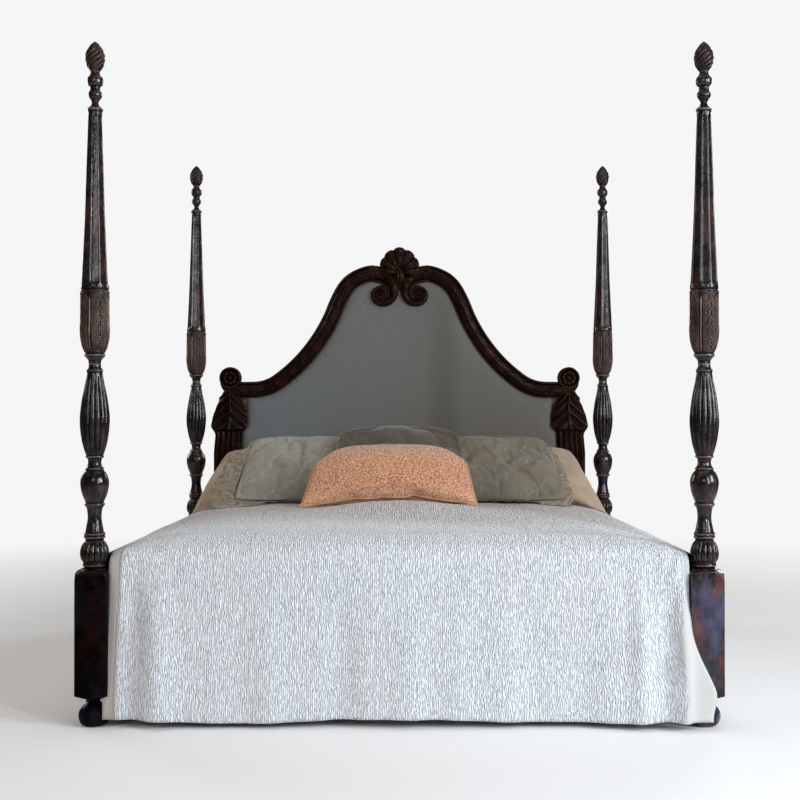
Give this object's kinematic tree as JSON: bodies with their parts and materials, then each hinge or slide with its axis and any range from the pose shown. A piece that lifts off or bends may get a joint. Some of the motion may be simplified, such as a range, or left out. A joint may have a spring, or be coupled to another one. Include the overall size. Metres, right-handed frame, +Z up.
{
  "type": "four-poster rope bed",
  "caption": "King four-poster bed with turned carved posts, rope-laced rails, upholstered arched headboard, coverlet and pillows.",
  "frame": {"origin": "middle of the bed's footprint, on the floor", "axes": "+X to the right seen from the foot, +Y from the foot to the headboard, +Z up"},
  "size_m": [2.14, 2.25, 2.277],
  "materials": {
    "wood_dark": "aged dark stain, waxed",
    "wood_plain": "plain secondary wood",
    "steel": "blackened iron",
    "rope": "laid hemp",
    "headboard_linen": "woven linen",
    "coverlet": "puckered matelasse cotton",
    "ticking": "mattress ticking",
    "pillow_cream": "plain cotton",
    "sham": "woven damask",
    "centre_cloth": "napped weave",
    "lumbar_cloth": "looped weave"
  },
  "bodies": {
    "frame": {"post_lower_foot_left": "wood_dark", "post_upper_foot_left": "wood_dark", "post_lower_foot_right": "wood_dark", "post_upper_foot_right": "wood_dark", "post_lower_head_left": "wood_dark", "post_upper_head_left": "wood_dark", "post_lower_head_right": "wood_dark", "post_upper_head_right": "wood_dark", "post_joint_rods": "steel", "side_rail_left": "wood_dark", "side_rail_right": "wood_dark", "foot_rail": "wood_dark", "head_rail": "wood_dark", "bed_bolts": "steel", "bed_bolt_washers": "steel", "bed_bolt_nuts": "steel", "bolt_hole_plugs": "wood_dark", "rope_crosswise": "rope", "rope_lengthwise": "rope", "headboard_lower_rail": "wood_dark", "headboard_pegs": "wood_plain", "headboard_panel": "wood_plain", "headboard_pad": "headboard_linen", "headboard_stile_left": "wood_dark", "headboard_stile_right": "wood_dark", "crest_moulding_left": "wood_dark", "crest_moulding_right": "wood_dark", "crest_scroll_left": "wood_dark", "crest_scroll_right": "wood_dark", "crest_shell": "wood_dark", "headboard_battens": "wood_plain", "batten_screws": "steel"},
    "finial_foot_left": {"finial_foot_left": "wood_dark", "finial_pin_foot_left": "steel"},
    "finial_foot_right": {"finial_foot_right": "wood_dark", "finial_pin_foot_right": "steel"},
    "finial_head_left": {"finial_head_left": "wood_dark", "finial_pin_head_left": "steel"},
    "finial_head_right": {"finial_head_right": "wood_dark", "finial_pin_head_right": "steel"},
    "made_mattress": {"mattress": "ticking", "coverlet": "coverlet"},
    "sleeping_pillow_left": {"sleeping_pillow_left": "pillow_cream"},
    "sleeping_pillow_right": {"sleeping_pillow_right": "pillow_cream"},
    "sham_left": {"sham_left": "sham"},
    "sham_right": {"sham_right": "sham"},
    "centre_pillow": {"centre_pillow": "centre_cloth"},
    "lumbar_pillow": {"lumbar_pillow": "lumbar_cloth"}
  },
  "joints": [
    {"name": "finial_lift_foot_left", "type": "slide", "parent": "frame", "child": "finial_foot_left", "axis": [0, 0, 1], "range_m": [0, 0.06]},
    {"name": "finial_lift_foot_right", "type": "slide", "parent": "frame", "child": "finial_foot_right", "axis": [0, 0, 1], "range_m": [0, 0.06]},
    {"name": "finial_lift_head_left", "type": "slide", "parent": "frame", "child": "finial_head_left", "axis": [0, 0, 1], "range_m": [0, 0.06]},
    {"name": "finial_lift_head_right", "type": "slide", "parent": "frame", "child": "finial_head_right", "axis": [0, 0, 1], "range_m": [0, 0.06]},
    {"name": "mattress_lift", "type": "slide", "parent": "frame", "child": "made_mattress", "axis": [0, 0, 1], "range_m": [0, 0.2]},
    {"name": "sleeping_pillow_slide_left", "type": "slide", "parent": "made_mattress", "child": "sleeping_pillow_left", "axis": [-1, 0, 0], "range_m": [0, 0.25]},
    {"name": "sham_slide_left", "type": "slide", "parent": "made_mattress", "child": "sham_left", "axis": [-1, 0, 0], "range_m": [0, 0.25]},
    {"name": "sleeping_pillow_slide_right", "type": "slide", "parent": "made_mattress", "child": "sleeping_pillow_right", "axis": [1, 0, 0], "range_m": [0, 0.25]},
    {"name": "sham_slide_right", "type": "slide", "parent": "made_mattress", "child": "sham_right", "axis": [1, 0, 0], "range_m": [0, 0.25]},
    {"name": "centre_pillow_lift", "type": "slide", "parent": "made_mattress", "child": "centre_pillow", "axis": [0, 0.6947, 0.7193], "range_m": [0, 0.15]},
    {"name": "lumbar_pillow_lift", "type": "slide", "parent": "made_mattress", "child": "lumbar_pillow", "axis": [0, -0.6, 0.8], "range_m": [0, 0.25]}
  ]
}
